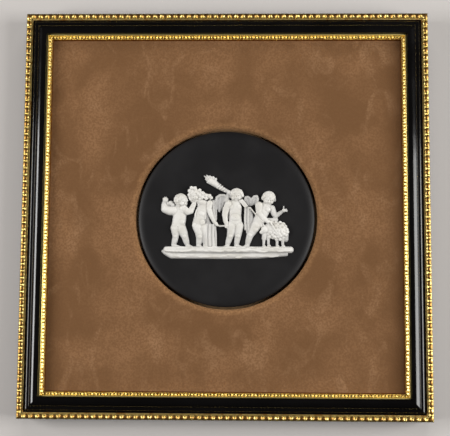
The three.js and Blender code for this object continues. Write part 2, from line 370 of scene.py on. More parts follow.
def rail_front():
    """The rail's front inwards: the step's round edge, the crown up to its crest, and the lip."""
    crest_inset = step_end + crown_radius * math.sin(crown_tilt)
    crest = step_high + crown_radius * (1 - math.cos(crown_tilt))
    fall_radius = (rail_wide - crest_inset) / math.sin(lip_tilt)
    yield from arc(groove + step_round, step_high, step_round, -math.pi / 2, 0, 8)
    yield from arc(crest_inset, crest, crown_radius, -crown_tilt, 0, 14)
    yield from list(arc(crest_inset, crest, fall_radius, 0, lip_tilt, 6))[1:]


rail = bar("ebonised_rail", [
    (0, 0), (rebate, 0), (rebate, mat_front), (rail_wide, mat_front),
    *reversed(list(rail_front())),
    (groove, groove_floor), (seat, groove_floor), (seat, seat_top), (0, seat_top),
])
smooth(rail, 30)
round_the_frame(rail, "ebonised_rail", lacquer, "ebonised_wood", "rail")

# Outer gilt strips
# A thin carved strip nailed into each rail's seat: a row of low cushions, broad at the outer
# edge and narrower inwards, with an unbroken fillet behind them. Water gilt, with the brown
# ground showing on the rubbed tops and in the deepest hollows; the tops are also darkened as painted
# shade.
cushion_count = 59
cushion_pitch = frame_side / cushion_count
strip_deep = strip_high.y - strip_low.y
strip_foot = seat_top
fillet_wide = 0.9 * mm
fillet_high = strip_foot + 2.1 * mm
fillet_round = 0.3 * mm
bed_high = strip_foot + 2.4 * mm
cushion_high = strip_foot + strip_deep - 0.1 * mm
cushion_middle = (seat - fillet_wide) / 2 + 0.1 * mm
cushion_half = (seat - fillet_wide) / 2 - 0.05 * mm


def repeated(piece, count, pitch):
    """A row of copies of a piece, running to the right."""
    modify(
        piece, "ARRAY", count=count, use_relative_offset=False, use_constant_offset=True,
        constant_offset_displace=(pitch, 0, 0),
    )


def joined(first, *others):
    bpy.ops.object.select_all(action="DESELECT")
    for piece in (first, *others):
        piece.select_set(True)
    bpy.context.view_layer.objects.active = first
    bpy.ops.object.join()
    return first


def carved_cushion():
    """One cushion of the outer strip, at the strip's left end: broad outside, narrower inwards."""
    cushion = start(
        "cushion", bpy.ops.mesh.primitive_uv_sphere_add, segments=12, ring_count=6, radius=1,
        location=(0, 0, 0), scale=(cushion_pitch / 2, cushion_high - bed_high, cushion_half),
    )
    done()
    edit(cushion)
    for level, share in ((-0.87, 1.8), (-0.5, 1.12), (0.5, 0.85), (0.87, 0.8)):
        pick(cushion, "VERT", lambda co: abs(co.z / cushion_half - level) < 0.05)
        bpy.ops.transform.resize(value=(share, 1, 1), center_override=(0, 0, 0))
    bpy.ops.mesh.select_all(action="SELECT")
    bpy.ops.transform.translate(value=(
        cushion_pitch / 2 - frame_side / 2, -bed_high, strip_low.z + cushion_middle,
    ))
    return done()


strip = bar("gilt_leaf_strip", [
    (0, strip_foot), (seat, strip_foot), (seat, fillet_high - fillet_round),
    (seat - fillet_round, fillet_high), (seat - fillet_wide + 0.25 * mm, fillet_high),
    (seat - fillet_wide, fillet_high - fillet_round), (seat - fillet_wide, bed_high),
    (fillet_round, bed_high), (0, bed_high - fillet_round),
])
cushions = carved_cushion()
repeated(cushions, cushion_count, cushion_pitch)
mitred(cushions)
strip = joined(strip, cushions)
smooth(strip, 50)


def gilt(name, hollow_high, burnished_high, rubbed_and_shaded_high):
    """Gold leaf over brown bole, which shows in low hollows and again where the tops are rubbed; the
    darker tops are also painted shade.
    """
    finish, tone = mixed(name)
    worn = tone.noise(420, 3).ramp(0.45, 0.75)
    height = 0 - tone.place("Y") - worn * 0.45 * mm
    burnish = height.ramp(hollow_high, burnished_high)
    bole = tone.blend(worn, srgb(118, 68, 15), srgb(158, 104, 30))
    # The tops of the carving painted darker brown: rubbed leaf and painted shade together
    rubbed_and_shaded_top = height.ramp(rubbed_and_shaded_high, rubbed_and_shaded_high + 0.3 * mm)
    leaf_color = tone.blend(rubbed_and_shaded_top * 0.85, srgb(255, 230, 146), srgb(140, 84, 22))
    lay(
        finish,
        Base_Color=tone.blend(burnish, bole, leaf_color),
        Metallic=0.72 + burnish * 0.22,
        Roughness=0.46 - burnish * 0.08,
        Normal=tone.noise(900, 3).bump(0.35, 0.2 * mm),
    )
    return finish


gilding = gilt("burnished_gilding", strip_foot + 1.5 * mm, bed_high + 0.1 * mm, bed_high + 0.3 * mm)
round_the_frame(strip, "gilt_leaf_strip", gilding, "gilding", "bead_strip")


# Inner gilt slips
# A second carved strip between each rail and the mat, falling from a fillet under the rail's
# lip over a row of paired lobes to a low fillet with a brown edge on the suede. Finished as the
# outer one.
slip_start = slip_low.z - rail_low.z
slip_wide = slip_high.z - slip_low.z
slip_end = slip_start + slip_wide
slip_top = -slip_low.y
pair_count = 37
pair_pitch = (slip_high.x - slip_low.x) / pair_count
pair_spread = 1.04 * mm
bed_inner = mat_front + 1.3 * mm
bed_outer = mat_front + 2 * mm
low_fillet_high = mat_front + 1.45 * mm
top_fillet_wide = 0.75 * mm
lobe_middle = slip_start + 0.46 * slip_wide
lobe_level = mat_front + 1.65 * mm


def carved_lobe(across, tilt, length, width, height):
    """A small pointed lobe lying across the slip at its left end."""
    start(
        "lobe", bpy.ops.mesh.primitive_uv_sphere_add, segments=8, ring_count=6, radius=1,
        location=(slip_low.x + pair_pitch / 2 + across, -lobe_level, rail_low.z + lobe_middle),
        rotation=(math.radians(-28), math.radians(tilt), 0),
        scale=(width / 2, height, length / 2),
    )
    return done()


slip = bar("gilt_slip", [
    (slip_start, mat_front), (slip_end, mat_front), (slip_end, mat_front + 0.2 * mm),
    (slip_end - 0.5 * mm, low_fillet_high - 0.25 * mm), (slip_end - 0.65 * mm, low_fillet_high),
    (slip_end - 0.95 * mm, low_fillet_high), (slip_end - 1.15 * mm, bed_inner),
    (slip_start + top_fillet_wide + 0.05 * mm, bed_outer),
    (slip_start + top_fillet_wide, slip_top - fillet_round),
    (slip_start + top_fillet_wide - fillet_round, slip_top), (slip_start, slip_top),
])
lobes = joined(
    carved_lobe(-pair_spread, 16, 1.6 * mm, 1.4 * mm, 1 * mm),
    carved_lobe(pair_spread, -16, 1.6 * mm, 1.4 * mm, 1 * mm),
    carved_lobe(pair_pitch / 2, 0, 1.4 * mm, 0.7 * mm, 0.7 * mm),
)
repeated(lobes, pair_count, pair_pitch)
mitred(lobes)
slip = joined(slip, lobes)
smooth(slip, 50)

slip_gilding = gilt("burnished_gilding_slip", mat_front + 1 * mm, mat_front + 1.6 * mm, slip_top)
round_the_frame(slip, "gilt_slip_carved", slip_gilding, "gilding", "gilt_slip")


# Backboard
# A plain sheet of brown fibreboard that closes the frame behind the mat and the plaque.
fibre, tone = mixed("brown_fibreboard", Roughness=0.9, Specular_IOR_Level=0.2)
strands = tone.noise(420, 5, (1, 1, 0.35))
lay(
    fibre,
    Base_Color=tone.blend(strands.ramp(0.3, 0.7), srgb(112, 90, 64), srgb(126, 102, 74)),
    Normal=strands.bump(0.3, 0.3 * mm),
)
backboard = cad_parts["backboard"]
backboard.data.materials.clear()
backboard.data.materials.append(fibre)


# Mat
# A thick board covered with brushed brown suede, with a round opening whose edge is padded,
# so that the suede rolls over it. The nap lies in lighter and darker swirls, worn paler round the
# opening, with painted shade from the right rail darkening it along the right side.
plaque_low, plaque_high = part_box("jasper_plaque")
plaque_radius = (plaque_high.x - plaque_low.x) / 2
plaque_gap = 0.8 * mm
opening = plaque_radius + plaque_gap
edge_round = 3 * mm
round_steps = 144
worn_start = opening + 3.2 * mm
worn_end = opening + 6.4 * mm
worn_ragged = 4 * mm
# Where the painted shade of the right rail starts on the mat and where it is full
rail_shade_start = mat_high.x - 19 * mm
rail_shade_end = mat_high.x - 8 * mm

mat_middle = (mat_low + mat_high) / 2
plaque_middle = (plaque_low + plaque_high) / 2
suede_mat = start(
    "suede_covered_mat", bpy.ops.mesh.primitive_cube_add, size=1, location=mat_middle,
    scale=mat_high - mat_low,
)
done()
cutter = start(
    "opening", bpy.ops.mesh.primitive_cylinder_add, vertices=round_steps, radius=opening,
    depth=4 * (mat_high.y - mat_low.y), location=plaque_middle, rotation=(math.pi / 2, 0, 0),
)
done()
modify(suede_mat, "BOOLEAN", operation="DIFFERENCE", object=cutter, solver="EXACT")
bpy.data.objects.remove(cutter)
edit(suede_mat, select=False)


def on_front_ring(*ends):
    return all(
        abs(end.y - mat_low.y) < 0.1 * mm
        and abs((end - plaque_middle).xz.length - opening) < 0.2 * mm
        for end in ends
    )


pick(suede_mat, "EDGE", on_front_ring)
bpy.ops.mesh.bevel(offset=edge_round, segments=8, affect="EDGES")
done()
smooth(suede_mat, 30)

suede, tone = mixed(
    "brown_suede", Roughness=0.92, Specular_IOR_Level=0.15, Sheen_Weight=0.35,
    Sheen_Roughness=0.5, Sheen_Tint=srgb(225, 178, 130),
)
across = tone.place("X") - plaque_middle.x
upward = tone.place("Z") - plaque_middle.z
from_middle = tone.math("SQRT", across * across + upward * upward)
worn = 1 - (from_middle + tone.noise(160, 3) * worn_ragged).ramp(worn_start, worn_end)
swirls = tone.noise(26, 4, (1, 1, 1), 0.6).ramp(0.34, 0.68)
strokes = tone.noise(70, 5, (1, 1, 0.6), 1.2).ramp(0.5, 0.75)
nap = tone.noise(900, 2)
# Painted shade from the right rail: the suede darker towards the mat's right edge
rail_shade_mask = across.ramp(rail_shade_start, rail_shade_end)
base = tone.blend(swirls, srgb(110, 78, 50), srgb(134, 98, 67))
base = tone.blend(strokes * 0.5, base, srgb(154, 118, 86))
base = tone.blend(worn * 0.55, base, srgb(162, 121, 82))
base = tone.blend(rail_shade_mask * 0.6, base, srgb(84, 56, 33))
base = tone.blend(nap.ramp(0.35, 0.65) * 0.6, base, srgb(106, 74, 47))
lay(
    suede,
    Base_Color=base,
    Normal=(nap * 0.6 + strokes * 0.4).bump(0.5, 0.4 * mm),
)
dress(suede_mat, suede, "suede", "suede_mat")


# Plaque
# One round disc of black jasper, a fine unglazed stoneware, turned and polished to a satin with
# a softly rounded rim. It lies on the backboard inside the mat's opening.
rim_wide = 4.6 * mm
rim_drop = 1.5 * mm
rim_steps = 10
plaque_face = -plaque_low.y


def plaque_profile():
    """From the middle of the back round the rim to the middle of the face."""
    yield 0, -plaque_high.y
    yield plaque_radius - 0.4 * mm, -plaque_high.y
    yield plaque_radius, -plaque_high.y + 0.4 * mm
    for step in range(rim_steps + 1):
        turn = step / rim_steps * math.pi / 2
        yield (
            plaque_radius - rim_wide * (1 - math.cos(turn)),
            plaque_face - rim_drop + rim_drop * math.sin(turn),
        )
    yield 0, plaque_face


plaque = drawn(
    "black_jasper_plaque",
    [Vector((radius, -height, plaque_middle.z)) for radius, height in plaque_profile()],
    closed=False,
)
bpy.ops.mesh.spin(steps=round_steps, angle=2 * math.pi, center=plaque_middle, axis=(0, 1, 0))
bpy.ops.mesh.select_all(action="SELECT")
bpy.ops.mesh.remove_doubles(threshold=0.01 * mm)
bpy.ops.mesh.normals_make_consistent(inside=False)
done()
smooth(plaque, 35)

jasper, tone = mixed("black_jasper", Specular_IOR_Level=0.3)
bloom = tone.noise(45, 4).ramp(0.35, 0.75)
lay(
    jasper,
    Base_Color=tone.blend(bloom, srgb(20, 19, 20), srgb(25, 24, 25)),
    Roughness=0.5 + bloom * 0.08,
    Normal=tone.noise(1500, 2).bump(0.1, 0.05 * mm),
)
dress(plaque, jasper, "black_jasper", "jasper_plaque")


# Relief
# One sprigged group in white jasper: four putti walking to the right over rocky ground, with
# flowers, a torch and a lamb. It is pressed in a mould and laid on the black body before the
# firing, so it is modelled as in clay: rolled and rubbed down, dabbed with details and cut into.
ground_length = 80 * mm
# Places are [right, up] from the plaque's middle, and they and radii are hundredths of the ground
unit = ground_length / 100
clay_voxel = 0.26 * mm
fine_voxel = 0.19 * mm
tool_voxel = 0.14 * mm
relief_high = 3.6 * mm
dice = random.Random(4)


def clay_ball(name, subdivisions):
    """A ball to copy, kept out of the scene."""
    ball = start(
        name, bpy.ops.mesh.primitive_ico_sphere_add, subdivisions=subdivisions, radius=1,
        location=(0, 0, 0),
    )
    bpy.context.scene.collection.objects.unlink(ball)
    return ball


coarse_ball = clay_ball("small_clay_ball", 2)
round_ball = clay_ball("clay_ball", 3)
dabs = []


def spot(right, up, out):
    """A place on the relief, out from the plaque's face."""
    return Vector((
        plaque_middle.x + right * unit, -plaque_face - out * unit, plaque_middle.z + up * unit,
    ))


def dab(right, up, out, radius, deep=0.75, long=1, slant=0):
    """A ball of clay pressed on: deep is its depth over its radius, long its length along slant."""
    first = round_ball if radius * long > 1.3 else coarse_ball
    piece = first.copy()
    piece.data = first.data.copy()
    turn = Matrix.Rotation(math.radians(90 - slant), 3, "Y").to_quaternion()
    size = Vector((radius, radius * deep, radius * long)) * unit
    piece.data.transform(Matrix.LocRotScale(spot(right, up, out), turn, size))
    bpy.context.scene.collection.objects.link(piece)
    dabs.append(piece)


def roll(points, out, deep=0.75, lift=0):
    """A tapered roll of clay through [right, up, radius] points, risen by lift at its far end."""
    for index, (here, there) in enumerate(zip(points, points[1:])):
        steps = max(1, math.ceil(math.dist(here[:2], there[:2]) / (0.45 * min(here[2], there[2]))))
        for step in range(steps + 1):
            share = step / steps
            right, up, radius = [a + (b - a) * share for a, b in zip(here, there)]
            along = (index + share) / (len(points) - 1)
            dab(right, up, out + lift * along, radius, deep)


def gathered(name):
    """All the dabs since the last time, as one piece."""
    piece = joined(*dabs)
    dabs.clear()
    piece.name = name
    piece.data.name = name
    return piece


def fused(piece, voxel, rounds):
    """Runs a piece's overlapping clay together and rubs it down."""
    modify(piece, "REMESH", mode="VOXEL", voxel_size=voxel)
    modify(piece, "SMOOTH", factor=0.5, iterations=rounds)


def cut_away(piece, tool, operation):
    modify(piece, "BOOLEAN", operation=operation, object=tool, solver="MANIFOLD")
    bpy.data.objects.remove(tool)


# Flesh: each putto's head as (right, up, radius, turned to the right, nodding, leaning), and
# its trunk, arms and legs as rolls
rear_putto = {
    "head": (-34.6, 13, 4.9, 52, 4, -4),
    "trunk": [(-35, 8, 4), (-35, 4.4, 5), (-35.4, -0.2, 5.2), (-36.2, -5.6, 5.2)],
    "far_arms": [[
        (-38.8, 5.6, 3.6), (-42.5, 5.6, 3.6), (-46.3, 6.8, 3.2), (-47, 10, 2.4), (-46.6, 13, 1.8),
    ]],
    "near_arms": [[(-32.6, 7.2, 3), (-29.4, 4.8, 2.6), (-27, 5.2, 2.3), (-24.6, 10.2, 1.8)]],
    "legs": [
        [
            (-38.2, -7.5, 4), (-38.2, -11.5, 3), (-38.2, -14.2, 2.4), (-38.8, -17, 2.4),
            (-39.8, -20.2, 1.7),
        ],
        [
            (-34.4, -7.6, 4.2), (-32.4, -11, 3.3), (-31.2, -14, 2.7), (-30.2, -17.3, 2.5),
            (-29.2, -20.2, 1.7),
        ],
    ],
    "feet": [(-39.8, -35), (-29, -25.8)],
}
flower_putto = {
    "head": (-23.6, 16.8, 4.6, -30, 0, 10),
    "trunk": [(-16.8, 9.8, 4), (-18.2, 6.2, 4.7), (-19.8, 1.4, 4.5), (-20.8, -4, 4.9)],
    "far_arms": [[(-20, 10.6, 2.4), (-21.4, 13.4, 2.1), (-20, 16, 1.8)]],
    "near_arms": [[
        (-12.6, 11.2, 2.3), (-13.2, 7.4, 2.1), (-11.4, 2, 1.8), (-9.4, -2.2, 1.5), (-7.6, -4.2, 1.3),
    ]],
    "legs": [
        [
            (-21.3, -6.5, 4.3), (-20.2, -11, 3.4), (-20.1, -15, 2.7), (-20.5, -18, 2.3),
            (-20.9, -20.4, 1.8),
        ],
        [(-17.4, -7, 3.6), (-16, -13, 2.4), (-15.9, -18, 1.9), (-16, -20.4, 1.6)],
    ],
    "feet": [(-20.9, -18.6), (-16, -13.6)],
}
torch_putto = {
    "head": (7.7, 17.4, 4.7, -14, 6, 4),
    "trunk": [(6.6, 10.6, 4.6), (6.6, 7.4, 5.1), (6.6, 2.4, 4.7), (6.8, -2.8, 5)],
    "far_arms": [[(2.2, 11.6, 2.3), (-0.2, 13.6, 1.9), (0.6, 16.6, 1.7), (1.9, 18.9, 1.5)]],
    "near_arms": [
        [(1.6, 10.4, 2.8), (-0.4, 6.8, 2.5), (-1.1, 2.4, 2.2), (-0.6, -2, 1.8), (0.4, -5.2, 1.4)],
    ],
    "legs": [
        [(4, -5.6, 4), (3.8, -9.5, 3.3), (2.8, -14, 2.6), (1.6, -17.5, 2.3), (0.9, -20.4, 1.7)],
        [(9.5, -5.6, 3.7), (9.3, -9.5, 3), (8.7, -14, 2.5), (8.1, -17.5, 2.2), (7.6, -20.4, 1.7)],
    ],
    "feet": [(1, -1.4), (7.6, 11.6)],
}
lamb_putto = {
    "head": (31.9, 15.2, 4.7, 10, 20, -8),
    "trunk": [(29.8, 8.6, 4.4), (27.6, 5.4, 4.9), (26, 1.6, 4.5), (24, -3.2, 4.4)],
    "far_arms": [[
        (34.4, 7.8, 2.5), (36, 3.4, 2.2), (37.2, 1.8, 2), (39.4, 3.4, 1.7), (41.6, 5, 1.4),
    ]],
    "near_arms": [[(24.6, 9.6, 3), (24.9, 4.6, 2.7), (27.8, 0.2, 2.2), (31.2, -2.4, 1.5)]],
    "legs": [
        [(22.8, -5, 4), (20.2, -9, 3.4), (17.8, -13, 2.7), (16.6, -17, 2.3), (15.8, -20.2, 1.7)],
    ],
    "feet": [(16.2, 12.8)],
}
putti = [rear_putto, flower_putto, torch_putto, lamb_putto]

for putto in putti:
    right, up, radius, *_ = putto["head"]
    neck_right, neck_up = putto["trunk"][0][:2]
    roll(putto["trunk"], 0.5, 0.5)
    roll([(neck_right, neck_up + 1.6, 2.6), (right, up - 2.4, 2.6)], 0.8, 0.7)
    for arm in putto["far_arms"]:
        roll(arm, 0.3, 0.75)
    for leg in putto["legs"]:
        roll(leg, 0.4, 0.66)
    for (heel, toe), leg in zip(putto["feet"], putto["legs"]):
        roll([(heel, -20.7, 1.5), ((heel + toe) / 2, -21.3, 1.3), (toe, -21.7, 0.9)], 0.9, 0.8)
    dab(right, up + 0.3, 0.9, radius, 0.58)
figures = gathered("putti_relief_clay")
fused(figures, clay_voxel, 5)


def on_head(head, across, above, rise=0):
    """A place on a head, in degrees to the right of and above the middle of its face."""
    right, up, radius, yaw, nod, lean = head
    way = Vector((0, 0, 1))
    way.rotate(Matrix.Rotation(math.radians(-above), 3, "X"))
    way.rotate(Matrix.Rotation(math.radians(across), 3, "Y"))
    way.rotate(Matrix.Rotation(math.radians(nod), 3, "X"))
    way.rotate(Matrix.Rotation(math.radians(yaw), 3, "Y"))
    way.rotate(Matrix.Rotation(math.radians(lean), 3, "Z"))
    reach = radius + rise
    return right + way.x * reach, up + 0.3 + way.y * reach, 0.9 + 0.58 * way.z * reach, way.z


def on_face(head, across, above, radius, deep=0.7, rise=0, long=1, slant=0):
    right, up, out, toward = on_head(head, across, above, rise)
    if toward > -0.2:
        dab(right, up, out, radius, deep, long, slant)


# Faces, ears and hair
for putto in putti:
    head = putto["head"]
    for side in (-1, 1):
        on_face(head, side * 31, -27, 1.75, 0.7, -0.75)
        on_face(head, side * 19, 9, 1.3, 0.6, -0.75, 1.5)
        on_face(head, side * 18, -6, 0.62, 0.9, -0.25)
        on_face(head, side * 5, -33, 0.5, 0.9, 0.1)
        on_face(head, side * 84, -8, 1.1, 0.9, 0, 1.5, 90)
    for above, size, rise in ((-5, 0.5, -0.1), (-12, 0.55, 0.1), (-19, 0.75, 0.3), (-39, 0.62, 0)):
        on_face(head, 0, above, size, 0.9, rise)
    on_face(head, 0, -52, 1.3, 0.8, -0.5)
    for above in range(26, 90, 11):
        count = round(26 * math.cos(math.radians(above))) + 3
        for curl in range(count):
            across = 360 * (curl + dice.uniform(-0.3, 0.3)) / count
            on_face(head, across, above + dice.uniform(-4, 4), dice.uniform(0.7, 1.05), 0.7, -0.2)
    for side in (-1, 1):
        for above in (-12, -2, 8, 17):
            for across in (62, 76, 92, 108, 125, 145):
                if above > 0 or across > 90:
                    on_face(head, side * across, above, dice.uniform(0.7, 1), 0.7, -0.2)

# Near arms over the bodies
for putto in putti:
    for arm in putto["near_arms"]:
        roll(arm, 1.5, 0.7)


def hand(right, up, out, size, fingers):
    """A palm with its fingers, each to its own tip."""
    dab(right, up, out, size, 0.7)
    for tip_right, tip_up in fingers:
        roll([(right, up, 0.55), (tip_right, tip_up, 0.45)], out + 0.2, 0.9)


hand(-46.2, 13.8, 0.9, 2.2, [(-48, 15), (-47, 15.9), (-45.6, 15.9), (-44.4, 14.8)])
hand(-24.4, 11, 1.9, 1.5, [(-26, 12.6), (-24.8, 13.2), (-23.5, 12.8)])
hand(1.9, 19.4, 1.4, 1.4, [(0.4, 20.6), (1.3, 21.2), (2.6, 20.9)])
hand(0.4, -5.9, 1.9, 1.3, [(-1.2, -6.2), (-0.6, -7.2), (0.6, -7.6)])
hand(-7.3, -4.6, 1.9, 1.2, [(-6, -5.6), (-6.9, -6)])
hand(32, -2.8, 2, 1.5, [(34.2, -2.4), (34.2, -3.6), (33.4, -4.6), (32, -5)])
hand(43.2, 6, 1, 1.5, [(45.6, 5.2), (45.9, 6.2), (45.3, 7.2), (43.2, 9.3)])
roll([(-7, -5.2, 0.8), (-4.8, -6, 0.75), (-2.2, -5.8, 0.75), (0, -6.2, 0.8)], 1.2, 0.9)

# Softness of the bodies: chests, bellies, knees, calves, buttocks and toes
for right, up, radius, out in [
    (-33.4, 5.4, 2.3, 1.9), (-34.4, -2.8, 3.4, 1.3), (-38.2, -5.6, 2.9, 1.3),
    (-18.6, 3.6, 2.6, 1.7), (-23, -5.4, 2.8, 1.4), (-18.6, -3.2, 2.6, 1.7),
    (4.3, 8.4, 2.5, 1.6), (9, 8.4, 2.4, 1.6), (6.7, 0.6, 3.8, 1.4),
    (31, 6.8, 2.4, 1.7), (27, -0.8, 2.8, 1.3), (21.6, -8, 2.8, 1.4),
    (-31.4, -13.6, 1.7, 1.7), (-20, -14, 1.8, 1.7), (3, -13.4, 1.8, 1.6), (8.8, -13.4, 1.7, 1.6),
    (18, -12.6, 1.8, 1.6), (-38.4, -13.6, 1.6, 1.5),
]:
    dab(right, up, out, radius, 0.55)
for putto in putti:
    for heel, toe in putto["feet"]:
        way = 1 if toe > heel else -1
        for step in range(3):
            dab(toe + way * (0.3 - 0.5 * step), -21.5 - 0.25 * step, 1.2, 0.5, 0.9)

# What the rear putto carries on the shoulder
dab(-42.2, 11.4, 0.5, 1.9, 0.9)
dab(-44, 11, 0.4, 1.6, 0.9)
dab(-40.6, 10, 0.6, 1.6, 0.9)


def blossom(right, up, out, radius):
    """A flower of five petals round a raised eye."""
    first = dice.uniform(0, 72)
    for petal in range(5):
        turn = math.radians(first + 72 * petal)
        dab(
            right + math.cos(turn) * 0.62 * radius, up + math.sin(turn) * 0.62 * radius, out,
            0.5 * radius, 0.8,
        )
    dab(right, up, out + 0.3 * radius, 0.34 * radius, 1)


# The flowers that the second putto carries overhead
roll([(-27, 20.6, 2), (-26.4, 16, 2.6), (-25.4, 13.6, 1.9)], 0.8, 0.8)
roll([(-25.6, 21.4, 2.2), (-20.6, 18.6, 2.6), (-15, 16.2, 2), (-11.6, 15.6, 1.4)], 1, 0.8)
for right, up, radius in [
    (-28.1, 20.6, 1.3), (-26.4, 22.9, 1.4), (-23.8, 22.6, 1.5), (-28, 17.4, 1.5), (-25.5, 19.6, 1.7),
    (-22.5, 20, 1.7), (-20.2, 21, 1.4), (-26.6, 14.6, 1.6), (-23.9, 16.6, 1.8), (-20.9, 17.6, 1.8),
    (-17.8, 18.8, 1.5), (-18.1, 16, 1.6), (-15.3, 17.2, 1.5), (-12.7, 16.8, 1.5), (-15.2, 14.8, 1.3),
    (-11.3, 15.2, 1.2), (-23.2, 13.4, 1.4), (-20.4, 14.8, 1.3),
]:
    blossom(right, up, 2.5, radius)


def folds(tops, bottoms, radius, out, sway=0.3):
    """Pleats of cloth hanging side by side, every other one lower."""
    for index, ((top_right, top_up), (low_right, low_up)) in enumerate(zip(tops, bottoms)):
        bend = sway * (1 if index % 2 else -1)
        middle_right = (top_right + low_right) / 2 + bend
        level = out - 0.45 * (index % 2)
        roll([
            (top_right, top_up, 0.8 * radius), (middle_right, (top_up + low_up) / 2, radius),
            (low_right, low_up, 1.1 * radius),
        ], level, 0.85)


def evenly(first, last, count):
    return [
        [a + (b - a) * step / (count - 1) for a, b in zip(first, last)] for step in range(count)
    ]


# The second putto's cloth, from the shoulder behind the arm to the ground
roll([(-13.4, -4, 2), (-12, -12, 3), (-11.4, -19.4, 3.4)], 0, 0.5)
roll([(-10.2, 12.4, 1.8), (-8.8, 6, 1.8), (-9, -1, 1.6)], 0, 0.7)
folds(evenly((-14.8, -4.6), (-8.4, -5), 6), evenly((-15, -20.8), (-7.9, -20.8), 6), 0.85, 1.3)
folds(evenly((-12.2, 13.6), (-8.6, 12.4), 4), evenly((-10.2, -0.6), (-7.8, -1.2), 4), 0.75, 1.2, 0.5)
folds(evenly((-22.4, 6.4), (-17, 8.4), 4), evenly((-23, -1), (-16, -0.4), 4), 0.6, 2, 0.8)

# Cloth behind, which closes the ground between the limbs
roll([(-14.4, 9, 1.8), (-14.8, 3, 2), (-14.4, -3, 2.2)], 0, 0.55)
roll([(-10.8, 8, 1.4), (-10.6, 4, 1.4)], 0, 0.6)
roll([(1.9, 7, 1.2), (2.1, 0, 1.2)], 0, 0.6)

# The torch: a bound bundle that widens to its flames
roll([(1.2, 20.2, 1.5), (-4.2, 22.9, 1.8), (-9.2, 26.6, 2.6), (-12, 28.4, 2.8)], 0.6, 0.75)
for share in (0.12, 0.27, 0.42, 0.57):
    right = 0.4 - 11.4 * share
    up = 20.2 + 7.6 * share
    width = 1.2 + 1.8 * share
    roll([
        (right - 0.5 * width, up - 0.8 * width, 0.4), (right + 0.8 * width, up + 0.5 * width, 0.4),
    ], 1.5 + 1.2 * share, 1)
for root_right, root_up, tip_right, tip_up, size in [
    (-10.6, 29.2, -10.2, 32, 1.3), (-11.4, 29, -12.8, 32.4, 1.4), (-12.2, 28.6, -15.2, 32.9, 1.4),
    (-12.6, 27.8, -17, 32.2, 1.2), (-12.8, 27, -16.2, 29.8, 1.2), (-12.2, 26.4, -15, 27.2, 1),
    (-9, 28.8, -8, 30.6, 1.2),
]:
    roll([
        (root_right, root_up, size),
        ((root_right + tip_right) / 2 + 0.4, (root_up + tip_up) / 2, 0.9 * size),
        (tip_right, tip_up, 0.4),
    ], 1.1, 0.8)


def wing(edge, tips, out):
    """Small feathers along the leading edge over a row of long ones that hang to their tips."""
    roll(edge, out + 0.5, 0.8)
    for index, (tip_right, tip_up) in enumerate(tips):
        place = index / (len(tips) - 1) * (len(edge) - 1)
        first = min(int(place), len(edge) - 2)
        share = place - first
        right, up = [a + (b - a) * share for a, b in zip(edge[first][:2], edge[first + 1][:2])]
        level = out + (0.25 if index % 2 else 0)
        roll([
            (right, up, 0.9), ((right + tip_right) / 2, (up + tip_up) / 2, 0.85),
            (tip_right, tip_up, 0.5),
        ], level, 0.9)


# Wings
wing(
    [(-8.2, 12.8, 0.9), (-7.4, 15.8, 1.1), (-4.6, 17.4, 1.2), (-1.6, 17.4, 1.1), (0.2, 15.8, 0.9)],
    [(-7.8, 9.6), (-6.9, 7.2), (-6, 5.2), (-5, 4.8), (-4, 6), (-3.2, 8.2), (-2, 10)], 0.2,
)
wing(
    [(13.8, 13.4, 0.8), (14.4, 16, 1), (16.4, 16.2, 1), (18, 15, 0.9), (19, 13.6, 0.8)],
    [(15.2, 10.4), (16.4, 10), (17.6, 9.8), (18.6, 9.8), (19.4, 10)], 0.2,
)
wing(
    [(19.2, 14.8, 0.8), (21, 16.6, 1), (23, 16.8, 1), (23.8, 14.8, 0.9), (23.6, 12.6, 0.8)],
    [(19.4, 10.4), (20.2, 10.6), (21.2, 10.6), (22.2, 11), (23, 11.4)], 0.4,
)

# Cloth between the third and the fourth putto, and the strap over it
roll([(15.2, 7, 1.9), (15.8, 0, 2.2), (15.8, -6, 1.8), (15.8, -9.6, 1)], 0, 0.6)
roll([(18, 6, 1.8), (18.8, -1, 1.9), (19.6, -6, 2)], 0, 0.6)
folds([(14.2, 8.6), (15.5, 9), (16.8, 8.4), (18.1, 7.8)],
      [(14.4, -8.4), (15.6, -10.8), (17, -9), (18.2, -6)], 0.75, 1.2, 0.35)
for shift in (-0.9, 0, 0.9):
    roll([(11 + shift, 13.6 + shift * 0.6, 0.55), (14.8 + shift, 8.9 + shift * 0.5, 0.6)], 2, 0.9)
roll([(17.8, 8.2, 0.6), (20.6, 4.6, 0.6), (24, 0.6, 0.6), (28, -2.6, 0.5)], 1.7, 0.9)
folds([(22.4, 1.6), (24, 0.6), (25.6, -0.6), (27, -1.6)],
      [(23.6, -4.6), (25, -5.4), (26.4, -6), (27.4, -6.4)], 0.75, 1.8, 0.3)

# The lamb
roll([(33.4, -8.4, 5.6), (37, -8.9, 6.9), (39.6, -9.6, 7)], 0.2, 0.5)
roll([(31.4, -1.2, 1.7), (34.2, -1.6, 2), (37.2, -1, 1.9)], 0.6, 0.7)
roll([(44, -12, 3), (44.6, -15.6, 2.2)], 0, 0.7)
dab(29.2, -8.6, 0.8, 3.1, 0.85)
roll([(28.4, -9.4, 2.1), (26.3, -10.6, 1.4)], 1.2, 0.8)
roll([(29.2, -12, 2.4), (28.6, -15, 2)], 0.4, 0.8)
roll([(29.4, -6.6, 0.9), (28, -5, 0.6)], 1.8, 0.8)
for hip, hoof in (((28.4, -14), (28.1, -21.2)), ((31.6, -13.6), (31.8, -20.8)),
                  ((38.2, -14.8), (38.2, -21.2)), ((42.4, -15), (42.5, -21))):
    roll([
        (*hip, 1.5), ((hip[0] + hoof[0]) / 2, (hip[1] + hoof[1]) / 2, 1.15), (*hoof, 0.95),
    ], 0.7, 0.9)
    dab(hoof[0] + 0.4, hoof[1], 1, 1.2, 0.8, 1.2)
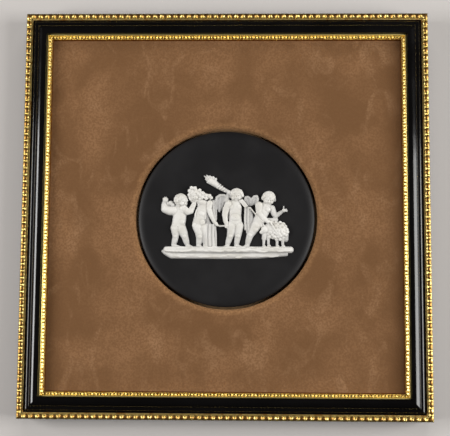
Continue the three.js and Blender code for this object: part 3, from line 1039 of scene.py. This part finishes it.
for ring in range(4):
    for lock in range(5 + 4 * ring):
        turn = 2 * math.pi * (lock + 0.5 * (ring % 2)) / (5 + 4 * ring)
        reach = (ring + 0.6) / 4
        right = 38.4 + 7.8 * reach * math.cos(turn)
        up = -9.4 + 6.9 * reach * math.sin(turn)
        dab(right + dice.uniform(-0.4, 0.4), up + dice.uniform(-0.4, 0.4),
            3.2 * math.sqrt(1 - reach ** 2 * 0.92), dice.uniform(1, 1.5), 0.7, dice.uniform(1, 1.4),
            dice.uniform(0, 180))
roll([(33.4, -3.4, 0.6), (36.6, -8.6, 0.7), (38.6, -11.4, 0.6)], 3.5, 0.8)
roll([(41.6, -4.6, 0.6), (39.8, -8.4, 0.7), (38.6, -11.4, 0.6)], 3.3, 0.8)

# Ground: a long ledge of rock in two beds
roll([(-44.8, -23.8, 2.6), (48.2, -23.6, 2.6)], 0, 1)
roll([(-47.4, -25, 1.4), (-45.6, -26, 2), (-41.6, -28, 2.4)], 0, 0.9)
roll([(-40.8, -28.2, 2.5), (0, -28.5, 2.4), (24, -28, 2.4), (44.8, -26.9, 1.7)], 0, 0.85)
for step in range(26):
    right = -43.5 + 88 * step / 25
    for level, drift, out in ((-22.4, 0.5, 1.9), (-24.5, 0.7, 2.2), (-28.6, 0.9, 1.6)):
        if level > -28 or 1 < step < 24:
            dab(right, level + dice.uniform(-drift, drift), out + dice.uniform(-0.2, 0.2),
                dice.uniform(0.6, 1.1), 0.7, dice.uniform(2.5, 5), dice.uniform(-4, 4))

relief = joined(gathered("white_jasper_putti"), figures)
fused(relief, fine_voxel, 2)

# Hollows cut in with the tool: eyes, mouths, navels, fingers' gaps, folds, feathers and beds
for putto in putti:
    head = putto["head"]
    for side in (-1, 1):
        on_face(head, side * 26, -7, 0.4, 0.9, 0.1, 1.3)
        on_face(head, side * 11, -7, 0.4, 0.9, 0)
    on_face(head, 0, -36, 0.22, 1.6, 0.45, 2.6)
for right, up in ((6.7, 0.4), (-33.4, -2.6), (29.4, 2)):
    dab(right, up, 3.3, 0.4, 1)
for line, out in [
    ([(-40.5, -26.3, 0.35), (-20, -26.5, 0.4), (6, -26.4, 0.3)], 2.5),
    ([(-6, -26.9, 0.3), (20, -26.8, 0.4), (45, -26, 0.35)], 2.2),
    ([(-34, -24.3, 0.25), (-10, -24.5, 0.3), (14, -24.2, 0.25)], 3.2),
    ([(20, -24.6, 0.25), (46, -24.4, 0.3)], 3.1),
    ([(6.8, -4.6, 0.3), (6.7, -9.6, 0.35)], 2.8),
    ([(-36.6, -6.4, 0.3), (-34.8, -11.6, 0.35)], 3),
    ([(-19.4, -8, 0.3), (-18.2, -14, 0.35)], 2.8),
    ([(1.9, 9.4, 0.3), (1.9, 3.4, 0.35), (2.3, -1.6, 0.3)], 3),
    ([(19.8, 4.2, 0.35), (20.4, 0.8, 0.6), (20.4, -1, 0.35)], 1.6),
    ([(22.2, 3, 0.3), (25.4, -0.2, 0.3), (29.2, -3.4, 0.35)], 2.8),
    ([(-30.6, 3.2, 0.3), (-33.4, 3.4, 0.3)], 3.2),
]:
    roll(line, out, 1.2)
tool = gathered("modelling_tool")
fused(tool, tool_voxel, 0)
cut_away(relief, tool, "DIFFERENCE")
fused(relief, fine_voxel, 1)

# Its back is flat on the plaque
block = start(
    "block", bpy.ops.mesh.primitive_cube_add, size=1,
    location=spot(0, 0, 0) - Vector((0, relief_high, 0)),
    scale=(2 * plaque_radius, 2 * relief_high, 2 * plaque_radius),
)
done()
cut_away(relief, block, "INTERSECT")
relief.name = "white_jasper_putti"
relief.data.name = relief.name
smooth(relief, 60)

# Each place's depth below the surface round it, where the shade gathers
rubbed_down = relief.copy()
rubbed_down.data = relief.data.copy()
bpy.context.scene.collection.objects.link(rubbed_down)
modify(rubbed_down, "SMOOTH", factor=0.5, iterations=60)
hollow = relief.data.attributes.new("hollow", "FLOAT", "POINT")
for own, level, depth in zip(relief.data.vertices, rubbed_down.data.vertices, hollow.data):
    depth.value = (own.co.y - level.co.y) / mm
bpy.data.objects.remove(rubbed_down)

biscuit, tone = mixed("white_jasper", Roughness=0.5, Specular_IOR_Level=0.45)
# Painted shade: greyer where the relief sits low on the plaque's face
standing = (0 - tone.place("Y")).ramp(plaque_face + 0.2 * mm, plaque_face + 2.2 * mm)
# Painted shade: darker where a place lies below the surface round it
painted_hollow_shade = tone.node("Attribute", {"attribute_name": "hollow"}, {}, "Fac").ramp(-0.06, 0.16)
firing = tone.noise(160, 3).ramp(0.35, 0.7)
body = tone.blend(firing, srgb(229, 227, 222), srgb(214, 211, 203))
body = tone.blend(painted_hollow_shade * 0.8, body, srgb(138, 133, 126))
lay(biscuit, Base_Color=tone.blend(standing, srgb(160, 159, 158), body))
dress(relief, biscuit, "white_jasper", "putti_relief")


# Hanger
# A pressed steel plate with a toothed lower edge, held flat on the backboard by two small
# round-headed nails. A nail in the wall takes the teeth.
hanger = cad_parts["hanger"].copy()
hanger.data = hanger.data.copy()
hanger.name = "toothed_hanger"
hanger.data.name = hanger.name
bpy.context.scene.collection.objects.link(hanger)
hanger.hide_render = False
edit(hanger)
bpy.ops.mesh.remove_doubles(threshold=0.01 * mm)
bpy.ops.mesh.dissolve_limited(angle_limit=math.radians(1))
done()
modify(hanger, "BEVEL", width=0.15 * mm, segments=2, limit_method="ANGLE")
hanger_low, hanger_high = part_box("hanger")
hanger_middle = (hanger_low + hanger_high) / 2
nail_reach = 18 * mm
nail_radius = 1.6 * mm
nail_level = hanger_middle.z + 1.2 * mm
nails = []
for side in (-1, 1):
    start(
        "nail_head", bpy.ops.mesh.primitive_uv_sphere_add, segments=20, ring_count=10,
        radius=nail_radius, location=(side * nail_reach, hanger_high.y, nail_level),
        scale=(1, 0.45, 1),
    )
    nails.append(done())
hanger = joined(hanger, *nails)
smooth(hanger, 40)

steel, tone = mixed("plated_steel", Metallic=1.0)
brushed = tone.noise(600, 3, (0.12, 1, 1))
lay(
    steel,
    Base_Color=tone.blend(brushed.ramp(0.3, 0.7), srgb(172, 171, 167), srgb(192, 191, 188)),
    Roughness=0.42 + brushed * 0.15,
    Normal=brushed.bump(0.15, 0.05 * mm),
)
dress(hanger, steel, "steel", "hanger")


# Wall and lights
# The picture hangs on a pale wall that only a camera in front of it sees. Soft lights stand to
# the right and the left, a little low, one above shows in no reflection, and one behind lights
# the back. The room in front stays dark, as the black lacquer shows.
wall_gap = 0.3 * mm
wall_side = 6
wall = start(
    "pale_wall", bpy.ops.mesh.primitive_plane_add, size=wall_side,
    location=(0, wall_gap, middle.z), rotation=(math.pi / 2, 0, 0),
)
done()
paint, tone = mixed(
    "wall_paint", Roughness=0.95, Specular_IOR_Level=0.2, Base_Color=srgb(193, 189, 186),
)
paint_tree = paint.node_tree
looked_at = tone.node("LightPath", {}, {}, "Is Camera Ray")
behind = tone.node("NewGeometry", {}, {}, "Backfacing")
clear = tone.node("BsdfTransparent", {}, {})
painted = Tone(paint_tree, paint_tree.nodes["Principled BSDF"].outputs[0])
coat = tone.node("MixShader", {}, {0: looked_at * (1 - behind), 1: clear, 2: painted})
paint_tree.links.new(coat.socket, paint_tree.nodes["Material Output"].inputs["Surface"])
wall.data.materials.append(paint)


def softbox(name, bearing, rise, distance, wide, high, power, color):
    """An area light facing the picture, at a bearing from straight in front of it."""
    turn = math.radians(bearing)
    place = middle + Vector((
        math.sin(turn) * distance, -math.cos(turn) * distance, rise,
    ))
    bpy.ops.object.light_add(type="AREA", location=place)
    light = bpy.context.object
    light.name = name
    light.data.shape = "RECTANGLE"
    light.data.size = wide
    light.data.size_y = high
    light.data.energy = power
    light.data.color = color
    light.rotation_mode = "QUATERNION"
    light.rotation_quaternion = (middle - place).to_track_quat("-Z", "Y")
    light.visible_camera = False
    return light


softbox("light_right", 56, -0.03, 1.0, 0.75, 0.45, 9.6, (1, 0.99, 0.97))
softbox("light_right_far", 84, -0.03, 1.0, 0.3, 0.45, 1.6, (0.97, 0.98, 1))
softbox("light_left", -57, -0.02, 1.0, 0.42, 0.5, 8.2, (1, 0.99, 0.98))
above = softbox("light_above", 8, 1.1, 0.7, 0.8, 0.5, 6.5, (1, 0.98, 0.95))
above.visible_glossy = False
softbox("light_behind", 180, 0.3, 1.2, 1.2, 1.2, 14, (1, 0.99, 0.98))

world = bpy.data.worlds.new("studio")
bpy.context.scene.world = world
world.use_nodes = True
world_tree = world.node_tree
room = world_tree.nodes["Background"]
room.inputs["Strength"].default_value = 1
seen = Tone(world_tree).node("LightPath", {}, {}, "Is Camera Ray")
room_color = seen.blend(seen, srgb(30, 29, 29), srgb(200, 198, 195))
world_tree.links.new(room_color.socket, room.inputs["Color"])
